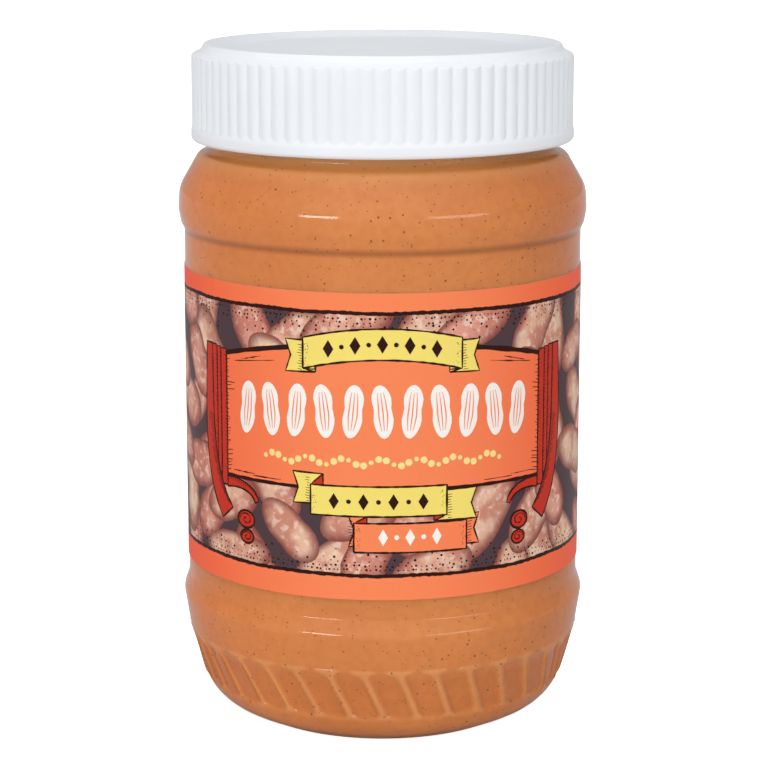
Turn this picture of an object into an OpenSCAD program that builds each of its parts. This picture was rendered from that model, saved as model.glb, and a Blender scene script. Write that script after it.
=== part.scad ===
// Screw-lidded clear jar filled with peanut butter, with a paper wrap label.
// Millimetres, +Z up, origin under the middle of the foot.

/* [Jar body] */
// diameter of the straight wall that carries the label
body_d = 72; // [50:0.5:110]
// thickness of the clear side wall
wall = 0.6; // [0.4:0.1:1.6]
// thickness of the clear wall at the heel and the base
heel_wall = 1.1; // [0.9:0.1:2]
// height of the lower end of the straight wall
panel_z = 25.6; // [20:0.2:40]
// length of the straight wall
panel_h = 64.2; // [40:0.2:120]

/* [Lower bulge and heel] */
// how far the lower bulge stands out from the straight wall
low_bulge = 1.0; // [0.4:0.1:3]
// height of the lower bulge under the straight wall, top to widest place
low_bulge_drop = 3.2; // [2:0.2:8]
// height where the heel starts to taper in
heel_top_z = 16.8; // [13:0.2:19]
// how much the radius shrinks down the heel taper
heel_taper = 3.8; // [2:0.1:6]
// height of the rounded corner below the taper
heel_low_z = 3.6; // [2.6:0.1:5]
// diameter of the ring that the jar stands on
foot_d = 47; // [30:0.5:60]
// how far the middle of the base is pushed up
push_up = 3.4; // [1:0.1:6]

/* [Heel grip panels] */
// number of slanted panels round the heel
grip_count = 35; // [16:1:48]
// lowest and highest place of the panels
grip_z0 = 6.2; // [5:0.1:9]
grip_z1 = 15.9; // [12:0.1:19]
// depth of the panels
grip_depth = 0.45; // [0.2:0.05:0.7]
// width of the ridge between two panels
grip_ridge = 1.3; // [0.6:0.1:3]
// turn of a panel between its lower and its upper end, in degrees
grip_turn = 7; // [0:0.5:12]
// turn of the first panel from the front, in degrees
grip_start = 2.7; // [0:0.1:10]

/* [Shoulder and neck] */
// how far the upper bulge stands out from the straight wall
top_bulge = 1.05; // [0.4:0.05:3]
// height of the upper bulge over the straight wall
top_bulge_h = 7.4; // [5:0.2:14]
// height of the sloping shoulder over the upper bulge
shoulder_h = 6.6; // [4:0.2:14]
// outer diameter of the neck
neck_d = 62.6; // [44:0.2:90]
// height of the neck over the shoulder
neck_h = 16.6; // [10:0.2:26]
// how far the bead on the neck stands out
bead = 0.9; // [0.4:0.1:1.6]
// thickness of the neck
neck_wall = 1.3; // [0.8:0.1:3]

/* [Lid] */
// gap between the shoulder and the lower edge of the lid
lid_gap = 1.8; // [0.6:0.1:4]
// gap all round between the neck's bead and the inside of the lid
lid_fit = 0.3; // [0.1:0.05:1]
// gap between the rim of the jar and the inside of the lid's top
seat_gap = 0.05; // [0.02:0.01:0.3]
// thickness of the lid's side wall under the valleys of the ribs
lid_wall = 1.25; // [0.8:0.05:3]
// thickness of the lid's recessed top
lid_top_t = 1.5; // [0.8:0.1:3]
// number of ribs round the lid
rib_count = 80; // [40:1:120]
// radius of the rounded back of one rib
rib_r = 2.0; // [1.6:0.1:3]
// how far the ribs stand out from the wall under them
rib_out = 0.62; // [0.3:0.02:1]
// height of the plain band under the ribs
band_h = 2.1; // [1:0.1:5]
// how far the plain band stands out past the ribs
band_out = 0.16; // [0:0.02:0.6]
// width of the ledge and cove between the ribs and the rim
cove_w = 1.95; // [1:0.05:4]
// height of the cove from the ledge to the top of the rim
cove_h = 1.7; // [0.8:0.1:4]
// width of the rim
rim_w = 1.4; // [0.8:0.1:4]
// width of the slope inside the rim
slope_w = 5; // [1:0.1:9]
// depth of the recessed top under the rim
recess = 0.9; // [0.4:0.1:3]

/* [Peanut butter] */
// space between the filling and the rim of the jar
headspace = 3.4; // [1:0.2:12]
// gap between the filling and the wall
fill_fit = 0.04; // [0.02:0.01:0.2]

/* [Label] */
// height of the lower edge of the label over the end of the straight wall
label_up = 3.7; // [1:0.1:12]
// space between the upper edge of the label and the end of the straight wall
label_down = 6.6; // [1:0.1:12]
// thickness of the label
label_t = 0.14; // [0.08:0.02:0.4]
// gap between the label and the wall
label_fit = 0.03; // [0.01:0.01:0.1]
// width of the overlap at the back
overlap = 9; // [4:0.5:20]

/* [Hidden] */
$fn = 96;

body_r = body_d / 2;
panel_top = panel_z + panel_h;
heel_r = body_r + 0.1;
foot_r = foot_d / 2;
shoulder_z = panel_top + top_bulge_h;
neck_z = shoulder_z + shoulder_h;
neck_r = neck_d / 2;
rim_z = neck_z + neck_h;
lid_z = neck_z + lid_gap;
lid_in_r = neck_r + bead + lid_fit;
valley_r = lid_in_r + lid_wall;
rib_tip_r = valley_r + rib_out;
band_r = rib_tip_r + band_out;
roof_z = rim_z + seat_gap;
floor_z = roof_z + lid_top_t;
lid_top_z = floor_z + recess;
ledge_z = lid_top_z - cove_h;
rim_r = valley_r - cove_w + 0.3;
fill_z = rim_z - headspace;
label_h = panel_h - label_up - label_down;

function unit(v) = v / norm(v);
// a path of [r, z, corner radius] turned into points, each corner rounded
function corner(a, b, c, r, steps) =
    let (u = unit([a[0] - b[0], a[1] - b[1]]), w = unit([c[0] - b[0], c[1] - b[1]]))
    let (half = acos(max(-1, min(1, u * w))) / 2)
    let (want = r / tan(half))
    let (room = min(norm([a[0] - b[0], a[1] - b[1]]), norm([c[0] - b[0], c[1] - b[1]])) * 0.49)
    let (t = min(want, room), rr = t * tan(half))
    let (m = unit(u + w) * (rr / sin(half)))
    let (o = [b[0] + m[0], b[1] + m[1]])
    let (p = [b[0] + u[0] * t - o[0], b[1] + u[1] * t - o[1]])
    let (q = [b[0] + w[0] * t - o[0], b[1] + w[1] * t - o[1]])
    let (turn = sign(p[0] * q[1] - p[1] * q[0]) * (180 - 2 * half))
    [for (k = [0:steps]) let (s = turn * k / steps)
        [o[0] + p[0] * cos(s) - p[1] * sin(s), o[1] + p[0] * sin(s) + p[1] * cos(s)]];
function rounded(path, steps = 4) = [for (i = [0:len(path) - 1])
    each ((i == 0 || i == len(path) - 1 || path[i][2] == 0)
        ? [[path[i][0], path[i][1]]]
        : corner(path[i - 1], path[i], path[i + 1], path[i][2], steps))];
function turned(list) = [for (i = [len(list) - 1:-1:0]) list[i]];

// outer side of the jar, from the middle of the base to the neck
function outside() = [
    [0, push_up, 0],
    [foot_r * 0.62, push_up, 9],
    [foot_r - 1.2, 0, 1.2],
    [foot_r + 1.2, 0, 2.4],
    [heel_r - heel_taper, heel_low_z, 5],
    [heel_r, heel_top_z, 15],
    [body_r + low_bulge, panel_z - low_bulge_drop, 4],
    [body_r, panel_z, 2],
    [body_r, panel_top, 1.6],
    [body_r + top_bulge, panel_top + top_bulge_h * 0.36, 4],
    [body_r + top_bulge * 0.8, shoulder_z, 6],
    [neck_r + 2, neck_z - 0.5, 2],
    [neck_r, neck_z, 0.8],
    [neck_r, rim_z, 0]];

// inner side of the jar, pushed in further by "more"
function inside(more = 0) = [
    [0, push_up + heel_wall + more, 0],
    [foot_r * 0.62, push_up + heel_wall + more, 8],
    [foot_r - 0.9, heel_wall + more, 1.2],
    [foot_r + 0.9, heel_wall + more, 2],
    [heel_r - heel_taper - heel_wall - more, heel_low_z + heel_wall * 0.5 + more, 4.4],
    [heel_r - heel_wall - more, heel_top_z, 15],
    [body_r + low_bulge - wall - more, panel_z - low_bulge_drop, 3.6],
    [body_r - wall - more, panel_z, 2.4],
    [body_r - wall - more, panel_top, 2],
    [body_r + top_bulge - wall - more, panel_top + top_bulge_h * 0.36, 3.6],
    [body_r + top_bulge * 0.8 - wall - more, shoulder_z - 0.2, 5.4],
    [neck_r + 1.4 - wall - more, neck_z - 1.1, 2],
    [neck_r - neck_wall - more, neck_z, 0.8]];

// the outer side between two heights, pushed in by "deep"
function heel_r_at(z) = heel_r - heel_taper * (heel_top_z - z) / (heel_top_z - heel_low_z);

// band round the heel that the panels reach down to
module grip_band() {
    rotate_extrude()
        polygon([
            [heel_r_at(grip_z0) - grip_depth, grip_z0],
            [heel_r_at(grip_z0) + 4, grip_z0 - 1],
            [heel_r_at(grip_z1) + 4, grip_z1 + 1],
            [heel_r_at(grip_z1) - grip_depth, grip_z1]]);
}

// one slanted block whose outline is a panel with cut corners
module grip_block() {
    mid_r = heel_r_at((grip_z0 + grip_z1) / 2);
    w = 2 * PI * mid_r / grip_count - grip_ridge;
    h = grip_z1 - grip_z0 + 1;
    skew = mid_r * grip_turn * PI / 180 / 2;
    translate([0, -mid_r + 6, (grip_z0 + grip_z1) / 2])
        rotate([90, 0, 0])
            linear_extrude(height = 12)
                polygon([
                    [-w / 2 + skew + 0.7, -h / 2],
                    [w / 2 + skew - 0.6, -h / 2],
                    [w / 2 + skew * 0.78, -h / 2 + 1.4],
                    [w / 2 - skew * 0.84, h / 2 - 1.5],
                    [w / 2 - skew - 1.2, h / 2 - 0.8],
                    [w / 2 - skew - 1.2, h / 2],
                    [-w / 2 - skew + 1.2, h / 2],
                    [-w / 2 - skew + 1.2, h / 2 - 0.8],
                    [-w / 2 - skew * 0.84, h / 2 - 1.5],
                    [-w / 2 + skew * 0.78, -h / 2 + 1.4]]);
}

module jar() {
    color([0.85, 0.8, 0.75, 0.4])
    difference() {
        union() {
            rotate_extrude()
                polygon(concat(
                    rounded(outside()),
                    [[neck_r - neck_wall, rim_z]],
                    turned(rounded(inside()))));
            translate([0, 0, neck_z + neck_h * 0.55])
                rotate_extrude()
                    polygon([
                        [neck_r - 0.2, -1.2],
                        [neck_r, -1.2],
                        [neck_r + bead, -0.4],
                        [neck_r + bead, 0.4],
                        [neck_r, 1.2],
                        [neck_r - 0.2, 1.2]]);
        }
        intersection() {
            grip_band();
            for (i = [0:grip_count - 1])
                rotate([0, 0, grip_start + i * 360 / grip_count])
                    grip_block();
        }
    }
}

module peanut_butter() {
    color([0.75, 0.47, 0.27])
    rotate_extrude()
        polygon(concat(
            rounded(inside(fill_fit)),
            [[neck_r - neck_wall - fill_fit, fill_z], [0, fill_z]]));
}

module label() {
    inner = body_r + label_fit;
    color([0.93, 0.49, 0.3])
    translate([0, 0, panel_z + label_up])
    union() {
        difference() {
            cylinder(r = inner + label_t, h = label_h);
            translate([0, 0, -1]) cylinder(r = inner, h = label_h + 2);
        }
        intersection() {
            difference() {
                cylinder(r = inner + label_t * 1.7, h = label_h);
                translate([0, 0, -1]) cylinder(r = inner + label_t / 2, h = label_h + 2);
            }
            translate([-overlap / 2, 0, 0]) cube([overlap, body_d, label_h]);
        }
    }
}

// outline that rounds the upper ends of the ribs
module rib_cap() {
    rotate_extrude()
        polygon(concat(
            [[0, lid_z + band_h - 1], [rib_tip_r + 0.02, lid_z + band_h - 1]],
            corner([rib_tip_r + 0.02, lid_z], [rib_tip_r + 0.02, ledge_z], [0, ledge_z], 0.7, 4),
            [[0, ledge_z]]));
}

module lid() {
    color([0.93, 0.94, 0.96])
    difference() {
        union() {
            // ribs
            intersection() {
                translate([0, 0, lid_z + band_h - 0.6])
                    linear_extrude(height = ledge_z - lid_z - band_h + 0.6)
                        union() {
                            circle(r = valley_r);
                            for (i = [0:rib_count - 1])
                                rotate(i * 360 / rib_count)
                                    translate([rib_tip_r - rib_r, 0])
                                        circle(r = rib_r, $fn = 24);
                        }
                rib_cap();
            }
            // plain band, ledge, cove and rim
            rotate_extrude()
                polygon(concat(
                    [[0, lid_z], [band_r - 0.5, lid_z]],
                    corner([0, lid_z], [band_r, lid_z], [band_r, lid_z + band_h], 0.6, 3),
                    corner([band_r, lid_z], [band_r, lid_z + band_h], [valley_r, lid_z + band_h + 0.5], 0.5, 3),
                    [[valley_r - 0.3, lid_z + band_h + 0.5], [valley_r - 0.3, ledge_z]],
                    corner([valley_r - 0.3, ledge_z], [rim_r + 0.5, ledge_z + 0.6], [rim_r, lid_top_z], 1, 4),
                    corner([rim_r + 0.5, ledge_z + 0.6], [rim_r, lid_top_z], [rim_r - rim_w, lid_top_z], 0.4, 3),
                    corner([rim_r, lid_top_z], [rim_r - rim_w, lid_top_z], [rim_r - rim_w - slope_w, floor_z], 0.8, 3),
                    corner([rim_r - rim_w, lid_top_z], [rim_r - rim_w - slope_w, floor_z], [0, floor_z], 9, 3),
                    [[0, floor_z]]));
        }
        translate([0, 0, lid_z - 1])
            cylinder(r = lid_in_r, h = roof_z - lid_z + 1);
    }
}

jar();
peanut_butter();
label();
lid();
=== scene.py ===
import math
import random

import bpy
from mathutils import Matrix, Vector, noise
from mathutils.geometry import delaunay_2d_cdt


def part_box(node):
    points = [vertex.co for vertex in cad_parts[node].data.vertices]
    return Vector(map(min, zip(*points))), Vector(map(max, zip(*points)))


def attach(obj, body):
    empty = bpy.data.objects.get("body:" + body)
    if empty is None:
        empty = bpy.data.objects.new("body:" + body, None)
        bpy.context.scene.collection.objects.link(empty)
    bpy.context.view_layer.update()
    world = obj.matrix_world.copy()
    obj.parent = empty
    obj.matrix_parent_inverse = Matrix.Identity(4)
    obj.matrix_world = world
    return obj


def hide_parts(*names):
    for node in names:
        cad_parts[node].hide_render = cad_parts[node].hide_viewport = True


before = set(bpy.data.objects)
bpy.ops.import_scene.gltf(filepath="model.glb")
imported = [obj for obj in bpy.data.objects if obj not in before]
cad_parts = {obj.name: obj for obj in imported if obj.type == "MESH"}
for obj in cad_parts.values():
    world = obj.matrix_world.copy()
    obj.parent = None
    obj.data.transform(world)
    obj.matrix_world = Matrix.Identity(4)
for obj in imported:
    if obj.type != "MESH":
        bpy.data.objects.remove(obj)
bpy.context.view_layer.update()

MM = 0.001
scene = bpy.context.scene


# ---------------------------------------------------------------- sizes, from the frame

def box_mm(node):
    low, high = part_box(node)
    return [c / MM for c in low], [c / MM for c in high]


JAR_LOW, JAR_HIGH = box_mm("jar")
LID_LOW, LID_HIGH = box_mm("lid")
LABEL_LOW, LABEL_HIGH = box_mm("label")
FILL_LOW, FILL_HIGH = box_mm("peanut_butter")

BODY_R = 36.0
WALL = 0.6
HEEL_WALL = 1.1
PANEL_Z = 25.6
PANEL_TOP = 89.8
LOW_BULGE = 1.0
LOW_BULGE_DROP = 3.2
HEEL_TOP_Z = 16.8
HEEL_TAPER = 3.8
HEEL_LOW_Z = 3.6
HEEL_CORNER = 8.5
FOOT_R = 23.5
PUSH_UP = 3.4
TOP_BULGE = 1.02
TOP_BULGE_H = 7.4
SHOULDER_H = 6.6
NECK_R = 31.3
NECK_WALL = 1.3
BEAD = 0.9
GRIP_COUNT = 35
GRIP_Z0 = 6.0
GRIP_Z1 = 16.1
GRIP_DEPTH = 0.5
GRIP_RISE = 0.2
GRIP_TURN = 7.0
GRIP_START = 7.9
FILL_INSET = 0.55
RIM_Z = JAR_HIGH[2]
FILL_Z = FILL_HIGH[2]
SHOULDER_Z = PANEL_TOP + TOP_BULGE_H
NECK_Z = SHOULDER_Z + SHOULDER_H

OUTER_COLUMNS = GRIP_COUNT * 14
INNER_COLUMNS = GRIP_COUNT * 6
FINE_STEP = 0.27
COARSE_STEP = 0.4
LONGEST_STEP = 6.0


# ---------------------------------------------------------------- outlines and meshes

def rounded(path, steps=6):
    """Points along a path of (r, z, corner radius), each corner turned into an arc."""
    out = []
    for i, (r, z, fillet) in enumerate(path):
        b = Vector((r, z))
        if i in (0, len(path) - 1) or fillet == 0:
            out.append(b)
            continue
        to_a = Vector(path[i - 1][:2]) - b
        to_c = Vector(path[i + 1][:2]) - b
        room = min(to_a.length, to_c.length) * 0.49
        u, w = to_a.normalized(), to_c.normalized()
        half = math.acos(max(-1.0, min(1.0, u.dot(w)))) / 2
        t = min(fillet / math.tan(half), room)
        rr = t * math.tan(half)
        mid = b + (u + w).normalized() * (rr / math.sin(half))
        p, q = b + u * t - mid, b + w * t - mid
        turn = math.copysign(math.pi - 2 * half, p.x * q.y - p.y * q.x)
        for k in range(steps + 1):
            s = turn * k / steps
            out.append(mid + Vector((p.x * math.cos(s) - p.y * math.sin(s),
                                     p.x * math.sin(s) + p.y * math.cos(s))))
    return out


def refined(points, longest, low=-1e9, high=1e9):
    """Adds points so that no step between two heights is longer than asked."""
    out = [points[0]]
    for a, b in zip(points, points[1:]):
        n = 1
        if max(a.y, b.y) > low and min(a.y, b.y) < high:
            n = max(1, math.ceil((b - a).length / longest))
        out += [a.lerp(b, (k + 1) / n) for k in range(n)]
    return out


def lathe(name, rows, columns, radius=None, closed_ends=(True, True)):
    """A surface of revolution in millimetres; radius(r, z, angle) may vary round it."""
    verts, faces = [], []
    for p in rows:
        for c in range(columns):
            a = 2 * math.pi * c / columns
            r = radius(p.x, p.y, a) if radius else p.x
            verts.append((r * math.sin(a) * MM, -r * math.cos(a) * MM, p.y * MM))
    for j in range(len(rows) - 1):
        for c in range(columns):
            d = (c + 1) % columns
            faces.append((j * columns + c, j * columns + d, (j + 1) * columns + d, (j + 1) * columns + c))
    for end, row in ((0, 0), (1, len(rows) - 1)):
        if closed_ends[end]:
            ring = [row * columns + c for c in range(columns)]
            verts.append((0, 0, rows[row].y * MM))
            tip = len(verts) - 1
            for c in range(columns):
                a, b = ring[c], ring[(c + 1) % columns]
                faces.append((a, tip, b) if end == 0 else (a, b, tip))
    return make_piece(name, verts, faces)


def make_piece(name, verts, faces):
    mesh = bpy.data.meshes.new(name)
    mesh.from_pydata(verts, [], faces)
    mesh.validate()
    mesh.polygons.foreach_set("use_smooth", [True] * len(mesh.polygons))
    piece = bpy.data.objects.new(name, mesh)
    scene.collection.objects.link(piece)
    return piece


def join_meshes(name, pieces):
    verts, faces = [], []
    for piece in pieces:
        start = len(verts)
        verts += [tuple(v.co) for v in piece.data.vertices]
        faces += [tuple(start + i for i in p.vertices) for p in piece.data.polygons]
        bpy.data.objects.remove(piece)
    return make_piece(name, verts, faces)


# ---------------------------------------------------------------- shader helpers

def new_group(name, inputs, outputs):
    """A node group with named sockets: inputs are (name, kind, value), outputs (name, kind)."""
    tree = bpy.data.node_groups.new(name, "ShaderNodeTree")
    for label, kind, value in inputs:
        socket = tree.interface.new_socket(name=label, in_out="INPUT", socket_type="NodeSocket" + kind)
        if value is not None:
            socket.default_value = value
    for label, kind in outputs:
        tree.interface.new_socket(name=label, in_out="OUTPUT", socket_type="NodeSocket" + kind)
    return tree, tree.nodes.new("NodeGroupInput"), tree.nodes.new("NodeGroupOutput")


def node(tree, kind, **settings):
    made = tree.nodes.new("ShaderNode" + kind)
    for key, value in settings.items():
        setattr(made, key, value)
    return made


def math_node(tree, operation, a, b=None, clamp=False):
    made = node(tree, "Math", operation=operation, use_clamp=clamp)
    for i, value in enumerate((a, b)):
        if value is None:
            continue
        if hasattr(value, "links"):
            tree.links.new(value, made.inputs[i])
        else:
            made.inputs[i].default_value = value
    return made.outputs[0]


def ramp(tree, value, low, high, to_low=0.0, to_high=1.0):
    made = node(tree, "MapRange", interpolation_type="SMOOTHSTEP")
    tree.links.new(value, made.inputs["Value"])
    made.inputs["From Min"].default_value = low
    made.inputs["From Max"].default_value = high
    made.inputs["To Min"].default_value = to_low
    made.inputs["To Max"].default_value = to_high
    return made.outputs["Result"]


def mix_colour(tree, factor, a, b, blend="MIX"):
    made = node(tree, "Mix", data_type="RGBA", blend_type=blend)
    for socket, value in ((made.inputs[0], factor), (made.inputs[6], a), (made.inputs[7], b)):
        if hasattr(value, "links"):
            tree.links.new(value, socket)
        else:
            socket.default_value = value
    return made.outputs[2]


def soft_grain():
    """Uneven tone and a fine grain: a slow mottle, a fine mottle and a height."""
    tree, gin, gout = new_group("soft_grain", [
        ("Slow Scale", "Float", 60.0), ("Fine Scale", "Float", 900.0), ("Detail", "Float", 3.0)], [
        ("Slow", "Float"), ("Fine", "Float"), ("Height", "Float")])
    place = node(tree, "TexCoord")
    slow = node(tree, "TexNoise")
    fine = node(tree, "TexNoise")
    for tex, scale in ((slow, "Slow Scale"), (fine, "Fine Scale")):
        tree.links.new(place.outputs["Object"], tex.inputs["Vector"])
        tree.links.new(gin.outputs[scale], tex.inputs["Scale"])
        tree.links.new(gin.outputs["Detail"], tex.inputs["Detail"])
    tree.links.new(slow.outputs["Fac"], gout.inputs["Slow"])
    tree.links.new(fine.outputs["Fac"], gout.inputs["Fine"])
    total = math_node(tree, "ADD", slow.outputs["Fac"], fine.outputs["Fac"])
    tree.links.new(total, gout.inputs["Height"])
    return tree


def specks():
    """Small round specks, some left out, with soft edges."""
    tree, gin, gout = new_group("specks", [
        ("Scale", "Float", 400.0), ("Size", "Float", 0.2), ("Share", "Float", 0.3)], [
        ("Mask", "Float")])
    place = node(tree, "TexCoord")
    cells = node(tree, "TexVoronoi", feature="F1")
    tree.links.new(place.outputs["Object"], cells.inputs["Vector"])
    tree.links.new(gin.outputs["Scale"], cells.inputs["Scale"])
    parts = node(tree, "SeparateColor")
    tree.links.new(cells.outputs["Color"], parts.inputs[0])
    keep = math_node(tree, "LESS_THAN", parts.outputs[0], gin.outputs["Share"])
    size = math_node(tree, "MULTIPLY", gin.outputs["Size"], parts.outputs[1])
    inside = math_node(tree, "SUBTRACT", size, cells.outputs["Distance"])
    soft = math_node(tree, "MULTIPLY", inside, 14.0, clamp=True)
    tree.links.new(math_node(tree, "MULTIPLY", soft, keep), gout.inputs["Mask"])
    return tree


def painted_side_shade():
    """A mask that is 0 at the front and back of the jar and 1 at its sides, for painted shade there:
    darker, redder colour where the light falls off towards the sides.
    """
    tree, gin, gout = new_group("painted_side_shade", [("Front", "Float", 0.036), ("Side", "Float", 0.006)], [
        ("Mask", "Float")])
    place = node(tree, "TexCoord")
    spot = node(tree, "SeparateXYZ")
    tree.links.new(place.outputs["Object"], spot.inputs[0])
    made = node(tree, "MapRange", interpolation_type="LINEAR")
    tree.links.new(math_node(tree, "ABSOLUTE", spot.outputs["Y"], 0.0), made.inputs["Value"])
    tree.links.new(gin.outputs["Front"], made.inputs["From Min"])
    tree.links.new(gin.outputs["Side"], made.inputs["From Max"])
    tree.links.new(made.outputs["Result"], gout.inputs["Mask"])
    return tree


def ring_mask():
    """A soft level ring round the jar: 1 at its height, down to 0 at its half width."""
    tree, gin, gout = new_group("ring_mask", [("Height", "Float", 0.0), ("Width", "Float", 0.001)], [
        ("Mask", "Float")])
    place = node(tree, "TexCoord")
    spot = node(tree, "SeparateXYZ")
    tree.links.new(place.outputs["Object"], spot.inputs[0])
    off = math_node(tree, "SUBTRACT", spot.outputs["Z"], gin.outputs["Height"])
    share = math_node(tree, "DIVIDE", math_node(tree, "ABSOLUTE", off, 0.0), gin.outputs["Width"])
    made = node(tree, "MapRange", interpolation_type="SMOOTHSTEP")
    tree.links.new(share, made.inputs["Value"])
    made.inputs["To Min"].default_value = 1.0
    made.inputs["To Max"].default_value = 0.0
    tree.links.new(made.outputs["Result"], gout.inputs["Mask"])
    return tree


SOFT_GRAIN = soft_grain()
PAINTED_SIDE_SHADE = painted_side_shade()
RING_MASK = ring_mask()
SPECKS = specks()


def new_material(name):
    mat = bpy.data.materials.new(name)
    mat.use_nodes = True
    tree = mat.node_tree
    tree.nodes.clear()
    out = node(tree, "OutputMaterial")
    shader = node(tree, "BsdfPrincipled")
    tree.links.new(shader.outputs[0], out.inputs["Surface"])
    return mat, tree, shader, out


def use_group(tree, group, **values):
    made = node(tree, "Group", node_tree=group)
    for key, value in values.items():
        made.inputs[key.replace("_", " ")].default_value = value
    return made


def add_bump(tree, shader, height, distance, strength=1.0, onto=("Normal",)):
    bump = node(tree, "Bump")
    bump.inputs["Distance"].default_value = distance
    bump.inputs["Strength"].default_value = strength
    tree.links.new(height, bump.inputs["Height"])
    for socket in onto:
        tree.links.new(bump.outputs[0], shader.inputs[socket])


def darker(colour, k):
    return tuple(c * k for c in colour[:3]) + (1.0,)


# ---------------------------------------------------------------- the jar's outline

def jar_path(inset=0.0):
    """Outline from the middle of the base to the rim; inset is in shares of the wall."""
    w = WALL * inset
    h = HEEL_WALL * inset
    n = NECK_WALL * inset
    top = BODY_R + 0.1
    return [
        (0.02, PUSH_UP + h, 0),
        (FOOT_R * 0.62, PUSH_UP + h, 9),
        (FOOT_R - 1.2 + 0.3 * inset, h, 1.2),
        (FOOT_R + 1.2 - 0.3 * inset, h, 2.4),
        (top - HEEL_TAPER - h, HEEL_LOW_Z + h * 0.5, HEEL_CORNER),
        (top - h, HEEL_TOP_Z, 15),
        (BODY_R + LOW_BULGE - w, PANEL_Z - LOW_BULGE_DROP + 0.2, 3),
        (BODY_R - w, PANEL_Z, 2),
        (BODY_R - w, PANEL_TOP - 0.1, 0.8),
        (BODY_R + 0.62 - w, PANEL_TOP + 1.2, 1.3),
        (BODY_R + TOP_BULGE - w, PANEL_TOP + TOP_BULGE_H * 0.46, 5),
        (BODY_R + TOP_BULGE * 0.8 - w, SHOULDER_Z - 0.2 * inset, 6),
        (NECK_R + 2 - w * 1.6, NECK_Z - 0.5 - 0.6 * inset, 2),
        (NECK_R - n, NECK_Z, 0.8),
    ]


def smooth(x):
    x = max(0.0, min(1.0, x))
    return x * x * (3 - 2 * x)


def grip_shares(r, z, a):
    """How far a point of the heel lies in a panel, and how far on the bar over a ridge."""
    if not GRIP_Z0 - 0.6 < z < GRIP_Z1 + 0.6 or r < 28:
        return 0.0, 0.0
    up = (z - (GRIP_Z0 + GRIP_Z1) / 2) / (GRIP_Z1 - GRIP_Z0)
    pitch = 360.0 / GRIP_COUNT
    cell = (math.degrees(a) - GRIP_START + GRIP_TURN * up) / pitch
    off_ridge = abs(cell - round(cell)) * pitch * math.pi / 180 * r
    half = 0.28 + 1.45 * smooth((0.85 - (GRIP_Z1 - z)) / 0.45) + 0.4 * smooth((2.4 - (GRIP_Z1 - z)) / 1.8)
    half += 0.75 * smooth((1.5 - (z - GRIP_Z0)) / 1.4)
    side = smooth((off_ridge - half) / 0.65)
    end = smooth((GRIP_Z1 + 0.1 - z) / 3.2) * smooth((z - GRIP_Z0 + 0.1) / 1.6)
    bar = smooth((half + 0.35 - off_ridge) / 0.45)
    bar *= smooth((GRIP_Z1 + 0.25 - z) / 0.35) * smooth((z - GRIP_Z0) / 0.8)
    return side * end, bar


def grip(r, z, a):
    """Pushes the heel in between slanted ridges, each with a bar across its upper end."""
    panel, bar = grip_shares(r, z, a)
    return r - GRIP_DEPTH * panel + GRIP_RISE * bar


def jar_rows(inset, top_z, fine):
    rows = rounded(jar_path(inset), 6 if fine else 4)
    rows.append(Vector((NECK_R - NECK_WALL * inset, top_z)))
    rows = refined(rows, FINE_STEP if fine else COARSE_STEP, GRIP_Z0 - 0.5, GRIP_Z1 + 0.5)
    return refined(rows, LONGEST_STEP)


def build_jar():
    outer = jar_rows(0.0, RIM_Z, True)
    bead_z = NECK_Z + (RIM_Z - NECK_Z) * 0.55
    neck = Vector((NECK_R, NECK_Z + 1.0))
    outer = outer[:-1]
    outer = [p for p in outer if p.y < NECK_Z + 0.9 or p.x > NECK_R + 0.5]
    outer += [neck, Vector((NECK_R, bead_z - 1.2)), Vector((NECK_R + BEAD, bead_z - 0.4)),
              Vector((NECK_R + BEAD, bead_z + 0.4)), Vector((NECK_R, bead_z + 1.2)),
              Vector((NECK_R, RIM_Z - 0.25)), Vector((NECK_R - 0.25, RIM_Z)),
              Vector((NECK_R - NECK_WALL + 0.2, RIM_Z))]
    inner = jar_rows(1.0, RIM_Z - 0.2, False)
    out_piece = lathe("jar_outer", outer, OUTER_COLUMNS, grip, (True, False))
    in_piece = lathe("jar_inner", list(reversed(inner)), INNER_COLUMNS, grip, (False, True))
    return join_meshes("clear_jar", [out_piece, in_piece])


def build_filling():
    rows = jar_rows(FILL_INSET, FILL_Z, False)
    rows += [Vector((r, FILL_Z + 0.1)) for r in (24.0, 18.0, 12.0, 6.0)]

    def settle(r, z, a):
        if z > FILL_Z - 0.5:
            return r
        return grip(r, z, a)
    made = lathe("filling", rows, OUTER_COLUMNS, settle)
    # The colour attribute keeps each point's panel and bar shares, for the painted shade in the panels and
    # the painted highlight on the bars.
    relief_shading = made.data.color_attributes.new("relief_shading", "FLOAT_COLOR", "POINT")
    for spot, vertex in zip(relief_shading.data, made.data.vertices):
        x, y, z = (c / MM for c in vertex.co)
        panel, bar = grip_shares(math.hypot(x, y) + GRIP_DEPTH, z, math.atan2(x, -y) % (2 * math.pi))
        spot.color = (panel, bar, 0.0, 1.0)
    return made


# ---------------------------------------------------------------- the lid

RIBS = 80
RIB_R = 2.0
RIB_OUT = 0.62
BAND_H = 2.1
LID_WALL = 1.25
BAND_R = LID_HIGH[0]
RIB_TIP = BAND_R - 0.16
VALLEY_R = RIB_TIP - RIB_OUT
LID_IN_R = VALLEY_R - LID_WALL
LID_Z = LID_LOW[2]
LID_TOP = LID_HIGH[2]
RECESS = 0.9
SLOPE_W = 5.0
RIB_END = 0.7
LEDGE_Z = LID_TOP - 1.7
ROOF_Z = RIM_Z + 0.05
LID_RIM_R = VALLEY_R - 1.65
SIDE_CODE = 999
LID_COLUMNS = RIBS * 10


def rib_radius(a):
    pitch = 2 * math.pi / RIBS
    off = (a / pitch) % 1.0
    off = (off - round(off)) * pitch
    c = RIB_TIP - RIB_R
    under = RIB_R ** 2 - (c * math.sin(off)) ** 2
    return max(VALLEY_R, c * math.cos(off) + math.sqrt(max(0.0, under)))


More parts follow.
